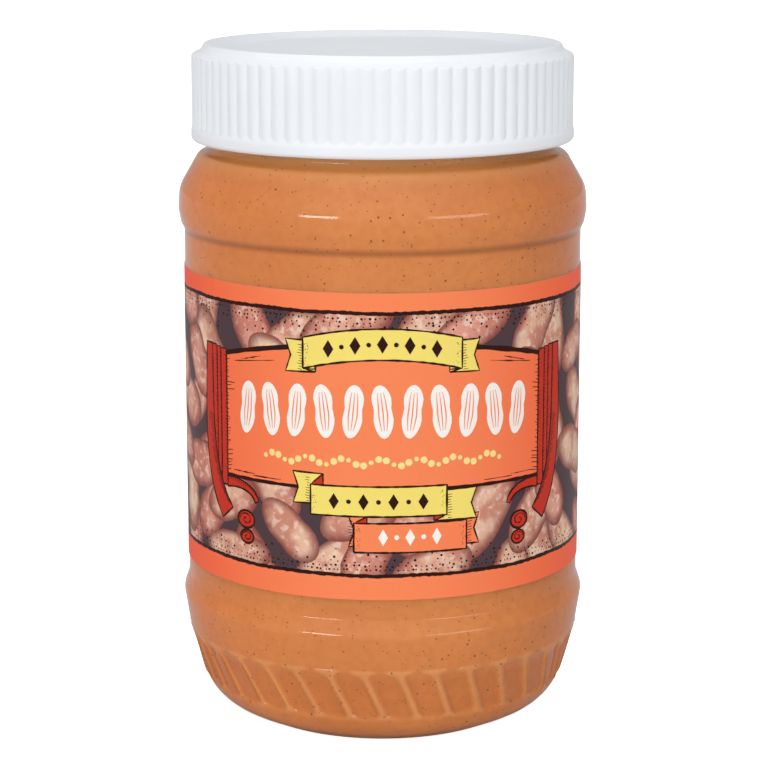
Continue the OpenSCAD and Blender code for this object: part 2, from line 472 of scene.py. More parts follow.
def lid_radius(r, z, a):
    """Turns the plain side wall, whose rows have SIDE_CODE as r, into ribs between two rounded ends."""
    if r < SIDE_CODE:
        return r
    band_top = LID_Z + BAND_H
    out = rib_radius(a)
    from_top = LEDGE_Z - z
    if from_top < RIB_END:
        out = min(out, RIB_TIP - RIB_END + math.sqrt(max(0.0, RIB_END ** 2 - (RIB_END - from_top) ** 2)))
    foot = BAND_R - (BAND_R - VALLEY_R) * smooth((z - band_top + 0.25) / 1.9)
    return max(out, foot) if z < band_top + 1.9 else out


def build_lid():
    rows = [Vector((0.02, ROOF_Z)), Vector((LID_IN_R - 1.0, ROOF_Z)),
            Vector((LID_IN_R - 0.3, ROOF_Z - 0.15)), Vector((LID_IN_R, ROOF_Z - 0.8)),
            Vector((LID_IN_R, (ROOF_Z + LID_Z) / 2)),
            Vector((LID_IN_R, LID_Z + 0.3)), Vector((LID_IN_R + 0.15, LID_Z + 0.06))]
    band = [(LID_IN_R + 0.4, LID_Z, 0), (BAND_R, LID_Z, 0.75), (BAND_R, LID_Z + BAND_H - 0.3, 0)]
    rows += rounded(band, 6)
    side = [LID_Z + BAND_H - 0.25 + 0.15 * k for k in range(15)]
    side += [(LID_Z + LEDGE_Z) / 2, LEDGE_Z - 2.0]
    side += [LEDGE_Z - RIB_END * (1 - math.sin(math.radians(k * 10))) for k in range(9)]
    rows += [Vector((SIDE_CODE, z)) for z in side]
    slope_r = LID_RIM_R - 1.4 - SLOPE_W
    rows += rounded([
        (RIB_TIP - RIB_END - 0.03, LEDGE_Z, 0), (VALLEY_R - 0.3, LEDGE_Z + 0.12, 0.4),
        (LID_RIM_R + 0.5, LEDGE_Z + 0.62, 1.0), (LID_RIM_R, LID_TOP, 0.4),
        (LID_RIM_R - 1.4, LID_TOP, 2.4), (slope_r, LID_TOP - RECESS, 9.0),
        (slope_r - 5, LID_TOP - RECESS, 0), (0.02, LID_TOP - RECESS, 0)], 6)
    return lathe("lid_cap", rows, LID_COLUMNS, lid_radius)


# ---------------------------------------------------------------- the label's print, laid out flat

LABEL_R = BODY_R + 0.17
LABEL_Z = LABEL_LOW[2]
LABEL_H = LABEL_HIGH[2] - LABEL_LOW[2]
LABEL_T = 0.14
HALF_ROUND = math.pi * LABEL_R
BORDER_LOW = 4.4
BORDER_HIGH = 50.5
PANEL_HALF = 30.9
PANEL_LOW = 19.6

INKS = ["orange_ink", "dark_ink", "nut_ink", "gap_ink", "yellow_ink", "red_ink", "white_ink",
        "cream_ink", "gold_ink", "paper_edge"]
rand = random.Random(11)


class Sheet:
    """Shapes laid on each other, the last on top, each with its ink and, if it is one, its nut."""

    def __init__(self):
        self.shapes = []
        self.inks = []

    def shape(self, points, ink, nut=-1):
        self.shapes.append([tuple(p) for p in points])
        self.inks.append((ink, nut))

    def stroke(self, points, width, ink="dark_ink", rough=0.0, taper=False):
        """A pen line of short pieces, whose width wavers by rough."""
        widths = []
        for i in range(len(points)):
            w = width / 2 * (1 + rough * rand.uniform(-1, 1))
            if taper:
                w *= 0.25 + 0.75 * math.sin(math.pi * min(1.0, (i + 0.6) / len(points)))
            widths.append(w)
        sides = []
        for i, p in enumerate(points):
            a = Vector(points[max(0, i - 1)])
            b = Vector(points[min(len(points) - 1, i + 1)])
            n = Vector((-(b - a).y, (b - a).x))
            n = n.normalized() if n.length > 0 else Vector((0, 1))
            sides.append((Vector(p) + n * widths[i], Vector(p) - n * widths[i]))
        for (a, b), (c, d) in zip(sides, sides[1:]):
            self.shape([tuple(a), tuple(c), tuple(d), tuple(b)], ink)

    def dot(self, u, h, size, ink="dark_ink"):
        turn = rand.uniform(0, 1)
        sides = 12 if size > 0.35 else 5
        shake = 0.6 / sides
        pts = []
        for k in range(sides):
            a = turn + k * 2 * math.pi / sides
            reach = size * rand.uniform(1 - shake, 1 + shake)
            pts.append((u + reach * math.cos(a), h + reach * math.sin(a)))
        self.shape(pts, ink)


def along(a, b, step):
    n = max(1, math.ceil(math.dist(a, b) / step))
    return [(a[0] + (b[0] - a[0]) * k / n, a[1] + (b[1] - a[1]) * k / n) for k in range(n + 1)]


def traced(corners, step=1.0, closed=True):
    """Evenly spaced points along the straight sides between corners."""
    out = []
    ends = corners[1:] + corners[:1] if closed else corners[1:]
    for a, b in zip(corners, ends):
        out += along(a, b, step)[:-1]
    out.append(corners[0] if closed else corners[-1])
    return out


def outlined(sheet, corners, ink, line=0.32, rough=0.3, step=1.2):
    """A filled shape with a pen line round it."""
    sheet.shape(list(corners), ink)
    sheet.stroke(traced(list(corners), step), line, rough=rough)


# peanuts in their shells

class Nut:
    def __init__(self, u, h, turn, long, wide, waist, bend, tone):
        self.u, self.h, self.turn = u, h, turn
        self.long, self.wide, self.waist, self.bend, self.tone = long, wide, waist, bend, tone

    def width(self, s):
        return self.wide * (1 - self.waist * math.exp(-(s - 0.08) ** 2 / 0.09)) * (1 + 0.08 * s)

    def place(self, s, t):
        x = self.long * s
        y = self.width(s) * t + self.bend * (s * s - 0.4)
        c, d = math.cos(self.turn), math.sin(self.turn)
        return self.u + x * c - y * d, self.h + x * d + y * c

    def outline(self, count=26, swell=1.0):
        out = []
        for k in range(count):
            a = 2 * math.pi * k / count
            out.append(self.place(math.cos(a) * swell, math.sin(a) * swell))
        return out

    def local(self, u, h):
        c, d = math.cos(self.turn), math.sin(self.turn)
        x = (u - self.u) * c + (h - self.h) * d
        y = -(u - self.u) * d + (h - self.h) * c
        s = max(-1.0, min(1.0, x / self.long))
        return s, (y - self.bend * (s * s - 0.4)) / max(0.5, self.width(s))


def scatter_nuts():
    nuts = []
    columns, rows = 21, 6
    wide = 2 * HALF_ROUND / columns
    tall = (BORDER_HIGH - BORDER_LOW) / (rows - 0.6)
    for j in range(rows):
        for i in range(columns):
            u = -HALF_ROUND + wide * (i + 0.5 * (j % 2) + rand.uniform(0.18, 0.82))
            h = BORDER_LOW + tall * (j + rand.uniform(-0.15, 0.45)) - 1.0
            lean = rand.choice((0.25, 1.25, -0.6, 1.9, 0.75, -1.2))
            nuts.append(Nut(u, h, lean + rand.uniform(-0.3, 0.3), rand.uniform(6.6, 9.4),
                            rand.uniform(3.7, 4.9), rand.uniform(0.04, 0.2),
                            rand.uniform(-0.9, 0.9), rand.random()))
    rand.shuffle(nuts)
    return nuts


def draw_field(sheet, nuts):
    top, low = BORDER_HIGH, BORDER_LOW
    sheet.shape([(-HALF_ROUND, low), (HALF_ROUND, low), (HALF_ROUND, top), (-HALF_ROUND, top)], "gap_ink")
    for i, nut in enumerate(nuts):
        sheet.shape(nut.outline(), "nut_ink", i)


def draw_stipple(sheet):
    """Rows of dots beside both border lines, denser next to the line."""
    for base, away in ((BORDER_HIGH, -1), (BORDER_LOW, 1)):
        for off, step, size, skip in ((0.95, 0.8, 0.19, 0.04), (1.7, 1.0, 0.19, 0.12),
                                      (2.5, 1.35, 0.2, 0.3), (3.5, 1.9, 0.2, 0.5), (4.7, 2.8, 0.19, 0.65)):
            count = int(2 * HALF_ROUND / step)
            for k in range(count):
                if rand.random() < skip:
                    continue
                u = -HALF_ROUND + (k + 0.5 + rand.uniform(-0.25, 0.25)) * step
                h = base + away * (off + rand.uniform(-0.12, 0.12) * off)
                sheet.dot(u, h, size * rand.uniform(0.6, 1.35))


def draw_borders(sheet):
    """Orange bands above and below, each cut off by a rough dark line."""
    r = HALF_ROUND
    for base, edge in ((BORDER_HIGH, LABEL_H), (BORDER_LOW, 0.0)):
        sheet.shape([(-r, base), (r, base), (r, edge), (-r, edge)], "orange_ink")
        up, down = [], []
        count = 420
        for k in range(count + 1):
            u = -r + 2 * r * k / count
            wave = 0.22 * noise.noise(Vector((u * 0.12, base, 0)))
            up.append((u, base + wave + 0.32 + rand.uniform(-0.07, 0.09)))
            down.append((u, base + wave - 0.32 + rand.uniform(-0.1, 0.07)))
        for k in range(count):
            sheet.shape([down[k], down[k + 1], up[k + 1], up[k]], "dark_ink")


def arch(u, top, drop, half):
    return top - drop * (u / half) ** 2


def draw_panel(sheet):
    """Plain orange panel with an arched top, a dark outline and short hatches at its ends."""
    half, low = PANEL_HALF, PANEL_LOW
    top = [(u, arch(u, 44.9, 3.7, half)) for u in [half - k * half / 20 for k in range(41)]]
    corners = [(-half, low), (half, low)] + top
    sheet.shape(corners, "orange_ink")
    sheet.stroke(traced([(-half, low), (half, low)], 1.1, False), 0.62, rough=0.22)
    sheet.stroke([(u, h + 0.2) for u, h in top], 0.85, rough=0.2)
    for side in (-1, 1):
        upright = [(side * half, low), (side * half, arch(half, 44.9, 3.7, half))]
        sheet.stroke(traced(upright, 1.1, False), 0.4)
        h = low + 0.8
        while h < 40.3:
            deep = rand.uniform(0.35, 1.0)
            if h < low + 4.5 or 34.5 < h < 36.5:
                deep += rand.uniform(0.3, 1.3)
            a = (side * half, h)
            b = (side * (half - deep), h + rand.uniform(0.0, 0.35))
            sheet.stroke([a, b], 0.2, taper=True)
            h += rand.uniform(0.36, 0.95)
        pulls = ((28.6, 19.5, 40.3), (27.0, 22.4, 40.75), (29.2, 24.0, low + 1.1), (24.4, 18.4, low + 0.8))
        for u0, u1, h0 in pulls:
            rise = 0.16 if h0 > 30 else 0.0
            points = [(side * (u0 + (u1 - u0) * k / 7), h0 + rise * k) for k in range(8)]
            sheet.stroke(points, 0.2, rough=0.6, taper=True)


def curve(ends, count=24):
    """Points of a smooth curve through four guide points (a cubic Bezier)."""
    out = []
    for k in range(count + 1):
        t = k / count
        w = ((1 - t) ** 3, 3 * t * (1 - t) ** 2, 3 * t * t * (1 - t), t ** 3)
        out.append((sum(c * p[0] for c, p in zip(w, ends)), sum(c * p[1] for c, p in zip(w, ends))))
    return out


def strip(sheet, line, start, end, ink, pen):
    """A band along a line, from one width to another, inked round and hatched on one side."""
    left, right = [], []
    for i, p in enumerate(line):
        a = Vector(line[max(0, i - 1)])
        b = Vector(line[min(len(line) - 1, i + 1)])
        n = Vector((-(b - a).y, (b - a).x)).normalized()
        w = (start + (end - start) * i / (len(line) - 1)) / 2
        left.append(tuple(Vector(p) + n * w))
        right.append(tuple(Vector(p) - n * w))
    outlined(sheet, left + right[::-1], ink, pen)
    return left, right


def hatch(sheet, points, reach, step, width=0.18):
    """Short tapering pen strokes from a line towards one side."""
    for a, b in zip(points, points[1:]):
        for p in along(a, b, step)[:-1]:
            k = rand.uniform(0.5, 1.15)
            end = (p[0] + reach[0] * k, p[1] + reach[1] * k)
            sheet.stroke([p, end], width, taper=True)


def draw_roll(sheet, side):
    """A red rolled edge beside the panel: four long bands and small coiled feet."""
    def p(*ends):
        return [(side * u, h) for u, h in ends]
    foot = curve(p((31.0, 18.3), (27.6, 18.9), (24.2, 18.0), (23.6, 15.6)), 10)
    left, right = strip(sheet, foot, 1.9, 0.8, "red_ink", 0.34)
    hatch(sheet, left[1:-1], (-0.3 * side, -0.9), 0.8)
    for u, h, size in ((26.2, 12.2, 2.0), (26.0, 9.1, 1.55)):
        ring = [(side * u + size * math.cos(k * 0.45), h + 0.8 * size * math.sin(k * 0.45))
                for k in range(14)]
        outlined(sheet, ring, "red_ink", 0.42)
        coil = [(side * (u + size * (0.8 - k * 0.05) * math.cos(k * 0.6)),
                 h + 0.8 * size * (0.8 - k * 0.05) * math.sin(k * 0.6)) for k in range(14)]
        sheet.stroke(coil, 0.2, rough=0.5)
    for u, wide, low in ((31.8, 1.7, 17.6), (33.2, 1.25, 19.5), (34.5, 1.5, 21.5)):
        line = traced(p((u - 0.1, low), (u, 41.9 + 0.15 * (u - 31))), 1.5, False)
        left, right = strip(sheet, line, wide, wide, "red_ink", 0.3)
        hatch(sheet, left if side > 0 else right, (0.5 * side, 0.5), 1.0)
    line = curve(p((36.2, 42.5), (36.2, 31.0), (37.6, 20.5), (31.0, 12.6)), 30)
    left, right = strip(sheet, line, 2.0, 3.7, "red_ink", 0.36)
    inner = left if side < 0 else right
    hatch(sheet, inner[12:], (1.6 * side, 0.9), 0.55)
    hatch(sheet, inner[2:12], (0.5 * side, 0.3), 1.1)


def draw_ribbon(sheet, mid, base, half, tall, bow, left, right, ink, back):
    """A ribbon: a bowed face, with a turned-back fold and a notched tail at each end.

    left and right are (how far the tail reaches out, how far it is shifted up)."""
    steps = 16
    for side, (reach, lift) in ((-1, left), (1, right)):
        end = mid + side * half
        fold = side * 2.3
        low = base - bow + lift
        tip = end + side * reach
        tail = [(end - fold, low), (tip, low - 0.15), (tip - side, low + tall / 2),
                (tip, low + tall + 0.1), (end - fold, low + tall)]
        outlined(sheet, tail, ink, 0.3)
        crease = [(end + side * 0.2, low + 0.3), (end + side * 0.2, low + tall - 0.4)]
        hatch(sheet, crease, (side * 0.8, 0.1), 0.5, 0.15)
        edge = low if lift < 0 else low + tall
        turn = base - bow if lift < 0 else base - bow + tall
        outlined(sheet, [(end - fold, edge), (end - fold, turn), (end, turn)], back, 0.26)
    shares = [k / steps * 2 - 1 for k in range(steps + 1)]
    low = [(mid + half * k, arch(k, base, bow, 1.0)) for k in shares]
    face = low + [(u, h + tall) for u, h in reversed(low)]
    outlined(sheet, face, ink, 0.34)
    for side in (-1, 1):
        for k in range(14):
            u = mid + side * (half - rand.uniform(0.2, 1.1))
            h = base - bow + tall * rand.uniform(0.1, 0.9)
            sheet.dot(u, h, rand.uniform(0.05, 0.11))


def lozenges(sheet, mid, h, gap, count, wide, tall, ink, bow=0.0):
    """A row of plain lozenges with a dot between each pair, where a pack would have words."""
    for k in range(count):
        u = mid + (k - (count - 1) / 2) * gap
        y = h - bow * ((u - mid) / 13) ** 2
        if k % 2 == 0:
            sheet.shape([(u - wide, y), (u, y + tall), (u + wide, y), (u, y - tall)], ink)
        else:
            sheet.dot(u, y, 0.42, ink)


def draw_ribbons(sheet):
    draw_ribbon(sheet, 0.0, 42.4, 14.0, 5.4, 1.9, (3.3, -0.5), (3.3, -0.5), "yellow_ink", "gold_ink")
    lozenges(sheet, 0.0, 45.1, 2.35, 9, 0.95, 1.55, "dark_ink", 1.8)
    draw_ribbon(sheet, 5.0, 8.5, 10.0, 5.2, 0.0, (0.9, 1.2), (2.4, 1.0), "orange_ink", "red_ink")
    lozenges(sheet, 4.8, 11.2, 2.35, 5, 0.85, 1.5, "white_ink")
    draw_ribbon(sheet, -0.7, 14.9, 12.0, 5.3, 0.0, (3.3, 2.0), (5.6, -0.9), "yellow_ink", "red_ink")
    lozenges(sheet, -0.7, 17.5, 2.6, 7, 0.9, 1.45, "dark_ink")


def draw_row(sheet):
    """Where a pack would have its title, a row of plain white peanut shells with a wave below."""
    count = 11
    for k in range(count):
        u = -25.5 + 51.0 * k / (count - 1)
        mid = 33.4 - 0.9 * (u / 25) ** 2
        lean = 0.10 if k % 2 else -0.10
        nut = Nut(u, mid, math.pi / 2 + lean, 4.7, 1.95, 0.24, 0.15, 0.5)
        sheet.shape(nut.outline(30), "white_ink")
        for t in (-0.5, 0.0, 0.5):
            line = [nut.place(-0.72 + 0.16 * i, t * (1 - 0.12 * abs(i - 4.5))) for i in range(10)]
            sheet.stroke(line, 0.24, "orange_ink", taper=True)
    for k in range(34):
        u = -21.5 + 43.0 * k / 33
        h = 24.5 + 0.6 * math.sin(k * math.pi / 2.5)
        sheet.dot(u, h, 0.62 if k % 3 else 0.42, "cream_ink")


def draw_back(sheet):
    """A plain cream panel at the back, with ruled lines and no words."""
    for side in (-1, 1):
        mid = side * 84.0
        half = 17.0
        outlined(sheet, [(mid - half, 9.5), (mid + half, 9.5), (mid + half, 45.0), (mid - half, 45.0)],
                 "cream_ink", 0.5)
        for k in range(9):
            h = 40.5 - k * 3.2
            w = 13.5 if k % 4 else 9.0
            sheet.stroke(traced([(mid - w, h), (mid + w, h)], 3.0, False), 0.35)


def flat_label():
    sheet = Sheet()
    nuts = scatter_nuts()
    draw_field(sheet, nuts)
    draw_stipple(sheet)
    draw_borders(sheet)
    draw_back(sheet)
    draw_panel(sheet)
    draw_roll(sheet, -1)
    draw_roll(sheet, 1)
    draw_row(sheet)
    draw_ribbons(sheet)
    return sheet, nuts


def inside(points, u, h):
    """Whether a point lies in a polygon, by counting crossings."""
    found = False
    x0, y0 = points[-1]
    for x1, y1 in points:
        if (y1 > h) != (y0 > h) and u < (x0 - x1) * (h - y1) / (y0 - y1) + x1:
            found = not found
        x0, y0 = x1, y1
    return found


def top_shapes(sheet, spots):
    """For each spot, the number of the last shape laid over it."""
    bins = {}
    for i, points in enumerate(sheet.shapes):
        us = [p[0] for p in points]
        hs = [p[1] for p in points]
        for x in range(math.floor(min(us)), math.floor(max(us)) + 1):
            for y in range(math.floor(min(hs)), math.floor(max(hs)) + 1):
                bins.setdefault((x, y), []).append(i)
    found = []
    for u, h in spots:
        best = -1
        for i in reversed(bins.get((math.floor(u), math.floor(h)), ())):
            if inside(sheet.shapes[i], u, h):
                best = i
                break
        found.append(best)
    return found


def build_label():
    """Cuts the flat print into triangles, one ink each, and wraps them round the jar."""
    sheet, nuts = flat_label()
    r = HALF_ROUND
    points = []
    edges = []
    for shape in sheet.shapes:
        start = len(points)
        points += shape
        edges += [(start + k, start + (k + 1) % len(shape)) for k in range(len(shape))]
    turns = 120
    for k in range(turns + 1):
        u = -r + 2 * r * k / turns
        edges.append((len(points), len(points) + 1))
        points += [(u, 0.0), (u, LABEL_H)]
    for h in (0.0, LABEL_H):
        edges.append((len(points), len(points) + 1))
        points += [(-r, h), (r, h)]
    cut = delaunay_2d_cdt([Vector(p) for p in points], edges, [], 0, 1e-4, False)
    coords, tris = cut[0], cut[2]
    middles = [sum((coords[i] for i in tri), Vector((0, 0))) / 3 for tri in tris]
    owners = top_shapes(sheet, middles)
    verts, kept, inks, places = [], [], [], []

    def wrap(u, h, lift=0.0):
        a = u / LABEL_R
        seam = 0.1 if u > r - 9.0 else 0.0
        q = LABEL_R + lift + seam
        return q * math.sin(a) * MM, -q * math.cos(a) * MM, (LABEL_Z + h) * MM
    for p in coords:
        verts.append(wrap(max(-r, min(r, p.x)), max(0.0, min(LABEL_H, p.y))))
    for tri, middle, owner in zip(tris, middles, owners):
        if not (-r < middle.x < r and 0 < middle.y < LABEL_H):
            continue
        ink, nut = sheet.inks[owner]
        kept.append(tuple(tri))
        inks.append(INKS.index(ink))
        for i in tri:
            s, t = nuts[nut].local(coords[i].x, coords[i].y) if nut >= 0 else (0.0, 0.0)
            places.append((s, t, nuts[nut].tone if nut >= 0 else 0.0, 1.0))
    edge = INKS.index("paper_edge")
    rings = []
    for h, lift in ((LABEL_H, 0.0), (LABEL_H, -LABEL_T), (0.0, -LABEL_T), (0.0, 0.0)):
        rings.append(range(len(verts), len(verts) + turns + 1))
        verts += [wrap(-r + 2 * r * k / turns, h, lift) for k in range(turns + 1)]
    for a, b in zip(rings, rings[1:]):
        for k in range(turns):
            kept.append((a[k], a[k + 1], b[k + 1], b[k]))
            inks.append(edge)
            places += [(0.0, 0.0, 0.0, 1.0)] * 4
    mesh = bpy.data.meshes.new("wrap_label")
    mesh.from_pydata(verts, [], kept)
    mesh.polygons.foreach_set("material_index", inks)
    mesh.polygons.foreach_set("use_smooth", [True] * len(kept))
    shell = mesh.color_attributes.new("shell", "FLOAT_COLOR", "CORNER")
    shell.data.foreach_set("color", [c for v in places for c in v])
    normals = []
    for poly in mesh.polygons:
        for i in poly.vertices:
            co = mesh.vertices[i].co
            out = poly.normal if inks[poly.index] == edge else Vector((co.x, co.y, 0.0))
            normals.append(tuple(out.normalized()))
    mesh.normals_split_custom_set(normals)
    piece = bpy.data.objects.new("wrap_label", mesh)
    scene.collection.objects.link(piece)
    return piece


# ---------------------------------------------------------------- materials

def rgb(r, g, b):
    """A colour given as screen values 0-255, as the linear values a shader wants."""
    out = []
    for c in (r, g, b):
        c /= 255.0
        out.append(c / 12.92 if c <= 0.04045 else ((c + 0.055) / 1.055) ** 2.4)
    return tuple(out) + (1.0,)


def clear_wall():
    """Clear plastic: sees through to the filling, and lets the light past it."""
    mat, tree, shader, out = new_material("clear_plastic")
    shader.inputs["Base Color"].default_value = rgb(255, 250, 244)
    shader.inputs["Transmission Weight"].default_value = 1.0
    shader.inputs["IOR"].default_value = 1.4
    shader.inputs["Roughness"].default_value = 0.035
    grain = use_group(tree, SOFT_GRAIN, Slow_Scale=45.0, Fine_Scale=420.0)
    tree.links.new(ramp(tree, grain.outputs["Slow"], 0.3, 0.7, 0.035, 0.065), shader.inputs["Roughness"])
    add_bump(tree, shader, grain.outputs["Slow"], 0.00012, 0.6)
    light = node(tree, "LightPath")
    clear = node(tree, "BsdfTransparent")
    clear.inputs["Color"].default_value = (0.97, 0.96, 0.95, 1.0)
    mix = node(tree, "MixShader")
    tree.links.new(light.outputs["Is Shadow Ray"], mix.inputs[0])
    tree.links.new(shader.outputs[0], mix.inputs[1])
    tree.links.new(clear.outputs[0], mix.inputs[2])
    tree.links.new(mix.outputs[0], out.inputs["Surface"])
    return mat


def butter():
    """Ground peanuts: warm tan, faintly uneven, with small dark specks of skin; painted shade at the jar's
    sides, in the heel's panels and in the groove, and painted light on the heel's bars and at the neck.
    """
    mat, tree, shader, out = new_material("ground_peanut")
    grain = use_group(tree, SOFT_GRAIN, Slow_Scale=38.0, Fine_Scale=650.0)
    slow = ramp(tree, grain.outputs["Slow"], 0.3, 0.7)
    base = mix_colour(tree, slow, rgb(227, 148, 82), rgb(235, 158, 90))
    fine = ramp(tree, grain.outputs["Fine"], 0.35, 0.7, 0.0, 0.35)
    base = mix_colour(tree, fine, base, rgb(217, 136, 72))
    # painted shade: the filling turns darker and redder towards the jar's sides, where the light falls off
    away = use_group(tree, PAINTED_SIDE_SHADE).outputs["Mask"]
    side_shaded = mix_colour(tree, 1.0, base, (1.07, 0.9, 0.78, 1.0), "MULTIPLY")
    base = mix_colour(tree, away, base, side_shaded)
    # painted shade: the filling is darker in the heel's sunk panels
    spot = node(tree, "VertexColor", layer_name="relief_shading")
    parts = node(tree, "SeparateColor")
    tree.links.new(spot.outputs["Color"], parts.inputs[0])
    panel_shaded = mix_colour(tree, 1.0, base, (0.95, 0.9, 0.86, 1.0), "MULTIPLY")
    base = mix_colour(tree, parts.outputs[0], base, panel_shaded)
    # painted highlight: a paler tone on the bars over the heel's ridges
    base = mix_colour(tree, math_node(tree, "MULTIPLY", parts.outputs[1], 0.3), base, rgb(250, 190, 128))
    # painted shade: a darker ring in the groove under the upper bulge
    groove_shade = use_group(tree, RING_MASK, Height=(PANEL_TOP + 0.1) * MM, Width=0.0011).outputs["Mask"]
    base = mix_colour(tree, math_node(tree, "MULTIPLY", groove_shade, 0.5), base, rgb(150, 80, 40))
    # painted light: a paler ring at the neck that lightens the shade under the lid's skirt
    neck = use_group(tree, RING_MASK, Height=(NECK_Z + 0.6) * MM, Width=0.0042).outputs["Mask"]
    base = mix_colour(tree, math_node(tree, "MULTIPLY", neck, 0.6), base, rgb(255, 195, 124))
    kinds = ((880.0, 0.23, 0.5, rgb(120, 58, 28)), (1500.0, 0.28, 0.4, rgb(146, 80, 44)))
    for scale, size, share, tone in kinds:
        mask = use_group(tree, SPECKS, Scale=scale, Size=size, Share=share).outputs["Mask"]
        base = mix_colour(tree, math_node(tree, "MULTIPLY", mask, 0.8), base, tone)
    tree.links.new(base, shader.inputs["Base Color"])
    shader.inputs["Roughness"].default_value = 0.6
    shader.inputs["Specular IOR Level"].default_value = 0.12
    shader.inputs["Subsurface Weight"].default_value = 0.12
    shader.inputs["Subsurface Radius"].default_value = (1.0, 0.5, 0.25)
    shader.inputs["Subsurface Scale"].default_value = 0.002
    add_bump(tree, shader, grain.outputs["Height"], 0.00015, 0.4)
    return mat


def lid_plastic():
    """White moulded plastic with a faint grain and a satin shine."""
    mat, tree, shader, out = new_material("white_plastic")
    grain = use_group(tree, SOFT_GRAIN, Slow_Scale=30.0, Fine_Scale=1500.0)
    slow = ramp(tree, grain.outputs["Slow"], 0.3, 0.7)
    base = mix_colour(tree, slow, rgb(239, 243, 249), rgb(244, 247, 252))
    tree.links.new(base, shader.inputs["Base Color"])
    tree.links.new(ramp(tree, grain.outputs["Slow"], 0.3, 0.7, 0.34, 0.44), shader.inputs["Roughness"])
    shader.inputs["Subsurface Weight"].default_value = 0.15
    shader.inputs["Subsurface Radius"].default_value = (1.0, 0.95, 0.9)
    shader.inputs["Subsurface Scale"].default_value = 0.0012
    add_bump(tree, shader, grain.outputs["Fine"], 0.00002, 0.5)
    return mat


def print_wear():
    """Printed paper: faint unevenness of the ink, a finer tooth, and a height for the bump."""
    tree, gin, gout = new_group("print_wear", [
        ("Colour", "Color", (0.8, 0.8, 0.8, 1.0)), ("Edge Colour", "Color", (0.7, 0.3, 0.2, 1.0)),
        ("Amount", "Float", 0.06)], [
        ("Colour", "Color"), ("Roughness", "Float"), ("Height", "Float")])
    grain = use_group(tree, SOFT_GRAIN, Slow_Scale=70.0, Fine_Scale=2200.0)
    tone = math_node(tree, "SUBTRACT", grain.outputs["Fine"], 0.5)
    tone = math_node(tree, "MULTIPLY", tone, gin.outputs["Amount"])
    tone = math_node(tree, "ADD", tone, 1.0)
    shade = node(tree, "CombineColor")
    for i in range(3):
        tree.links.new(tone, shade.inputs[i])
    base = mix_colour(tree, 1.0, gin.outputs["Colour"], shade.outputs[0], "MULTIPLY")
    slow = ramp(tree, grain.outputs["Slow"], 0.35, 0.7, 0.0, 0.12)
    base = mix_colour(tree, slow, base, gin.outputs["Edge Colour"])
    tree.links.new(base, gout.inputs["Colour"])
    tree.links.new(ramp(tree, grain.outputs["Slow"], 0.3, 0.7, 0.36, 0.46), gout.inputs["Roughness"])
    tree.links.new(grain.outputs["Fine"], gout.inputs["Height"])
    return tree


PRINT_WEAR = print_wear()


def ink(name, colour, second=None, amount=0.05, side=(1.0, 0.9, 0.85, 1.0)):
    """A printed ink of the label, on coated paper; side is a painted shade that tints it darker and redder
    towards the two sides of the jar, where the light falls off.
    """
    mat, tree, shader, out = new_material(name)
    edge = second or darker(colour, 0.8)
    wear = use_group(tree, PRINT_WEAR, Colour=colour, Edge_Colour=edge, Amount=amount)
    # painted shade: the ink is tinted by side towards the jar's sides
    away = use_group(tree, PAINTED_SIDE_SHADE).outputs["Mask"]
    side_shaded = mix_colour(tree, 1.0, wear.outputs["Colour"], side, "MULTIPLY")
    base = mix_colour(tree, away, wear.outputs["Colour"], side_shaded)
    tree.links.new(base, shader.inputs["Base Color"])
    tree.links.new(wear.outputs["Roughness"], shader.inputs["Roughness"])
    shader.inputs["Specular IOR Level"].default_value = 0.1
    add_bump(tree, shader, wear.outputs["Height"], 0.00001, 0.4)
    return mat


def nut_ink():
    """The printed shells: pale in the middle, redder and darker at the rim, netted and mottled."""
    mat, tree, shader, out = new_material("nut_ink")
    spot = node(tree, "VertexColor", layer_name="shell")
    parts = node(tree, "SeparateColor")
    tree.links.new(spot.outputs["Color"], parts.inputs[0])
    s, t, tone = parts.outputs
    ss = math_node(tree, "MULTIPLY", s, s)
    tt = math_node(tree, "MULTIPLY", t, t)
    rim = math_node(tree, "SQRT", math_node(tree, "ADD", ss, tt))
    grain = use_group(tree, SOFT_GRAIN, Slow_Scale=230.0, Fine_Scale=800.0, Detail=4.0)
    warm = mix_colour(tree, ramp(tree, tone, 0.1, 0.9), rgb(226, 158, 138), rgb(236, 200, 170))
    mottle = ramp(tree, grain.outputs["Slow"], 0.38, 0.62)
    warm = mix_colour(tree, math_node(tree, "MULTIPLY", mottle, 0.75), warm, rgb(196, 114, 96))
    pale = ramp(tree, grain.outputs["Fine"], 0.5, 0.66, 0.0, 0.6)
    warm = mix_colour(tree, pale, warm, rgb(246, 220, 202))
    edge = ramp(tree, rim, 0.6, 1.0, 0.0, 0.9)
    warm = mix_colour(tree, edge, warm, rgb(132, 62, 56))
    lower = ramp(tree, t, 0.0, -1.0, 0.0, 0.35)
    warm = mix_colour(tree, lower, warm, rgb(140, 78, 72))
    tree.links.new(warm, shader.inputs["Base Color"])
    tree.links.new(ramp(tree, grain.outputs["Slow"], 0.3, 0.7, 0.36, 0.46), shader.inputs["Roughness"])
    shader.inputs["Specular IOR Level"].default_value = 0.1
    add_bump(tree, shader, grain.outputs["Fine"], 0.00001, 0.4)
    return mat


